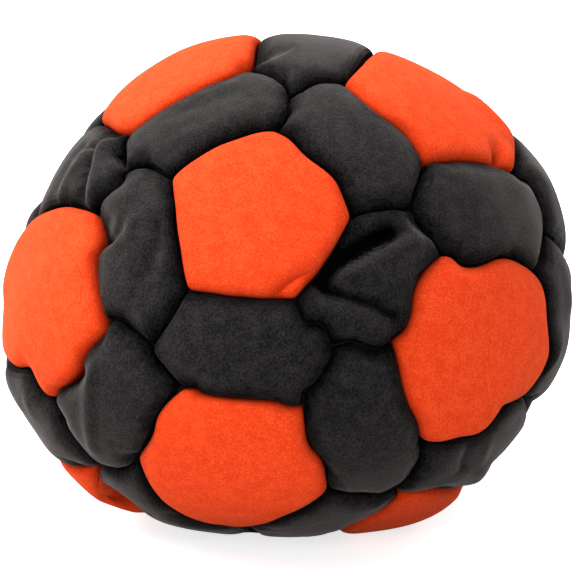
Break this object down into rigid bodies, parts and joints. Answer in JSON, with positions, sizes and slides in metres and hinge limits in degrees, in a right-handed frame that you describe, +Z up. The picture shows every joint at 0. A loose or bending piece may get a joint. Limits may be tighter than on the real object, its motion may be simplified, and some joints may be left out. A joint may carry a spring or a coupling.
{
  "type": "footbag",
  "caption": "Round sand-filled footbag sewn from orange five-sided and charcoal six-sided suede panels, slightly slumped on its own flat foot.",
  "frame": {"origin": "on the floor plane that the footbag's flat foot rests on, under the middle of its bounding box", "axes": "+Z up, -Y towards the side that the picture shows, +X to the right in the picture"},
  "size_m": [0.0532, 0.0531, 0.0452],
  "materials": {
    "orange_suede": "matt synthetic suede with a short felt-like nap",
    "charcoal_suede": "matt synthetic suede with a short felt-like nap",
    "black_thread": "bonded polyester sewing thread",
    "sand": null
  },
  "bodies": {
    "root": {"charcoal_back_left_to_back_low": "charcoal_suede", "charcoal_back_right_to_back_low": "charcoal_suede", "charcoal_back_right_to_back_top": "charcoal_suede", "charcoal_back_top_to_back_left": "charcoal_suede", "charcoal_back_top_to_back_low": "charcoal_suede", "charcoal_bottom_left_to_back_left": "charcoal_suede", "charcoal_bottom_left_to_back_low": "charcoal_suede", "charcoal_bottom_left_to_bottom_right": "charcoal_suede", "charcoal_bottom_right_to_back_low": "charcoal_suede", "charcoal_bottom_right_to_back_right": "charcoal_suede", "charcoal_centre_to_left": "charcoal_suede", "charcoal_centre_to_low": "charcoal_suede", "charcoal_centre_to_right": "charcoal_suede", "charcoal_centre_to_upper_left": "charcoal_suede", "charcoal_centre_to_upper_right": "charcoal_suede", "charcoal_left_to_back_left": "charcoal_suede", "charcoal_left_to_bottom_left": "charcoal_suede", "charcoal_low_to_bottom_left": "charcoal_suede", "charcoal_low_to_bottom_right": "charcoal_suede", "charcoal_low_to_left": "charcoal_suede", "charcoal_right_to_back_right": "charcoal_suede", "charcoal_right_to_bottom_right": "charcoal_suede", "charcoal_right_to_low": "charcoal_suede", "charcoal_upper_left_to_back_left": "charcoal_suede", "charcoal_upper_left_to_back_top": "charcoal_suede", "charcoal_upper_left_to_left": "charcoal_suede", "charcoal_upper_left_to_upper_right": "charcoal_suede", "charcoal_upper_right_to_back_right": "charcoal_suede", "charcoal_upper_right_to_back_top": "charcoal_suede", "charcoal_upper_right_to_right": "charcoal_suede", "orange_back_left": "orange_suede", "orange_back_low": "orange_suede", "orange_back_right": "orange_suede", "orange_back_top": "orange_suede", "orange_bottom_left": "orange_suede", "orange_bottom_right": "orange_suede", "orange_centre": "orange_suede", "orange_left": "orange_suede", "orange_low": "orange_suede", "orange_right": "orange_suede", "orange_upper_left": "orange_suede", "orange_upper_right": "orange_suede", "sand_filling": "sand", "seam_thread": "black_thread"}
  },
  "joints": []
}
